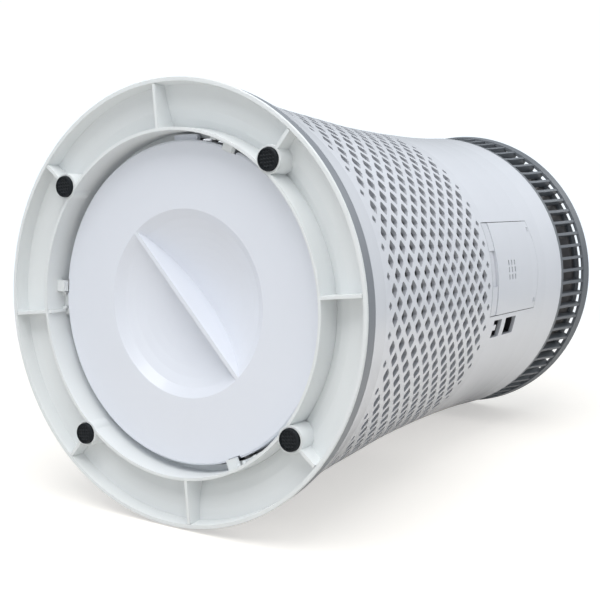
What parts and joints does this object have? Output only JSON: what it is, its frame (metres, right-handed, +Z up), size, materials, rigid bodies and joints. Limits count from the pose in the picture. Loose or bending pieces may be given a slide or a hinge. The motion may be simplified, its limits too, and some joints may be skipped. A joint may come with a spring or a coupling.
{
  "type": "air purifier",
  "caption": "Round flared air purifier tower with a diamond-perforated intake, twist-off filter cover underneath, rear sensor door and a finned outlet round the top.",
  "frame": {"origin": "centre of the footprint, on the floor plane that the four rubber pads stand on", "axes": "+Z up along the tower's axis, from the pads to the louvre rim; +Y towards the rear, where the sensor door and the power inlet are; +X completes a right-handed frame"},
  "size_m": [0.255, 0.255, 0.383],
  "materials": {
    "base_white": "moulded base, warm off-white, fine texture",
    "shell_white": "glossy cool white",
    "cover_white": "satin cool white",
    "slate_grey": "satin slate grey",
    "accent_grey": "satin blue-grey",
    "pad_rubber": "textured black rubber",
    "steel_screw": "zinc plated steel",
    "frame_grey": "dark grey structural plastic",
    "duct_grey": "charcoal plastic",
    "impeller_plastic": "glass-filled grey plastic",
    "motor_metal": "die-cast motor can",
    "bearing_steel": "ground bearing steel",
    "lamination_steel": "stacked laminations",
    "copper_coil": "enamelled copper windings",
    "magnet": "sintered magnet",
    "board_green": "solder-masked circuit board",
    "component_black": "moulded electronic components",
    "sensor_black": "sensor casing",
    "lens_clear": "small clear lens",
    "display_dark": "smoked display window",
    "light_guide": "translucent light guide",
    "media_paper": "pleated filter paper",
    "carbon_fabric": "carbon-coated non-woven",
    "cap_plastic": "filter end caps",
    "foam_seal": "closed-cell foam",
    "strap_fabric": "woven pull tab"
  },
  "bodies": {
    "housing": {"base_ring": "base_white", "foot_pads": "pad_rubber", "base_screws": "steel_screw", "accent_ring": "accent_grey", "outer_shell": "shell_white", "sensor_tray": "frame_grey", "catch_plate": "steel_screw", "particle_sensor": "sensor_black", "sensor_lens": "lens_clear", "inlet_pocket": "component_black", "power_socket": "component_black", "socket_pins": "bearing_steel", "inner_frame": "frame_grey", "fan_guard": "duct_grey", "fan_housing": "duct_grey", "fan_screws": "steel_screw", "motor_can": "motor_metal", "motor_end_cap": "motor_metal", "motor_bearings": "bearing_steel", "motor_stator": "lamination_steel", "motor_windings": "copper_coil", "motor_mount": "duct_grey", "motor_screws": "steel_screw", "power_board": "board_green", "board_components": "component_black", "air_deflector": "duct_grey", "outlet_duct": "duct_grey", "top_grille": "slate_grey", "control_panel": "shell_white", "display_window": "display_dark", "light_ring": "light_guide", "control_board": "board_green", "tact_switches": "component_black", "board_screws": "steel_screw"},
    "rotor": {"impeller": "impeller_plastic", "impeller_nut": "steel_screw", "motor_shaft": "bearing_steel", "motor_rotor": "magnet"},
    "filter_cartridge": {"filter_bottom_cap": "cap_plastic", "filter_top_cap": "cap_plastic", "filter_gasket": "foam_seal", "filter_media": "media_paper", "filter_core": "cap_plastic", "carbon_sleeve": "carbon_fabric", "filter_pull_tab": "strap_fabric"},
    "cover": {"filter_cover": "cover_white"},
    "door": {"sensor_door": "shell_white", "door_hinge_pins": "steel_screw", "door_magnet": "magnet"},
    "power_key": {"button_power": "slate_grey"},
    "speed_key": {"button_speed": "slate_grey"},
    "timer_key": {"button_timer": "slate_grey"},
    "light_key": {"button_light": "slate_grey"}
  },
  "joints": [
    {"name": "fan_spin", "type": "hinge", "parent": "housing", "child": "rotor", "pos_m": [0, 0, 0.25], "axis": [0, 0, 1], "continuous": true},
    {"name": "filter_withdraw", "type": "slide", "parent": "housing", "child": "filter_cartridge", "axis": [0, 0, -1], "range_m": [0, 0.215]},
    {"name": "cover_twist", "type": "hinge", "parent": "filter_cartridge", "child": "cover", "pos_m": [0, 0, 0.02], "axis": [0, 0, 1], "range_deg": [0, 16]},
    {"name": "door_swing", "type": "hinge", "parent": "housing", "child": "door", "pos_m": [0.00338, 0.09694, 0.2924], "axis": [0.9994, -0.0349, 0], "range_deg": [0, 50]},
    {"name": "power_key_press", "type": "slide", "parent": "housing", "child": "power_key", "axis": [0, 0, -1], "range_m": [0, 0.0008], "stiffness_N_per_m": 1200, "springref_m": -0.0004},
    {"name": "speed_key_press", "type": "slide", "parent": "housing", "child": "speed_key", "axis": [0, 0, -1], "range_m": [0, 0.0008], "stiffness_N_per_m": 1200, "springref_m": -0.0004},
    {"name": "timer_key_press", "type": "slide", "parent": "housing", "child": "timer_key", "axis": [0, 0, -1], "range_m": [0, 0.0008], "stiffness_N_per_m": 1200, "springref_m": -0.0004},
    {"name": "light_key_press", "type": "slide", "parent": "housing", "child": "light_key", "axis": [0, 0, -1], "range_m": [0, 0.0008], "stiffness_N_per_m": 1200, "springref_m": -0.0004}
  ]
}
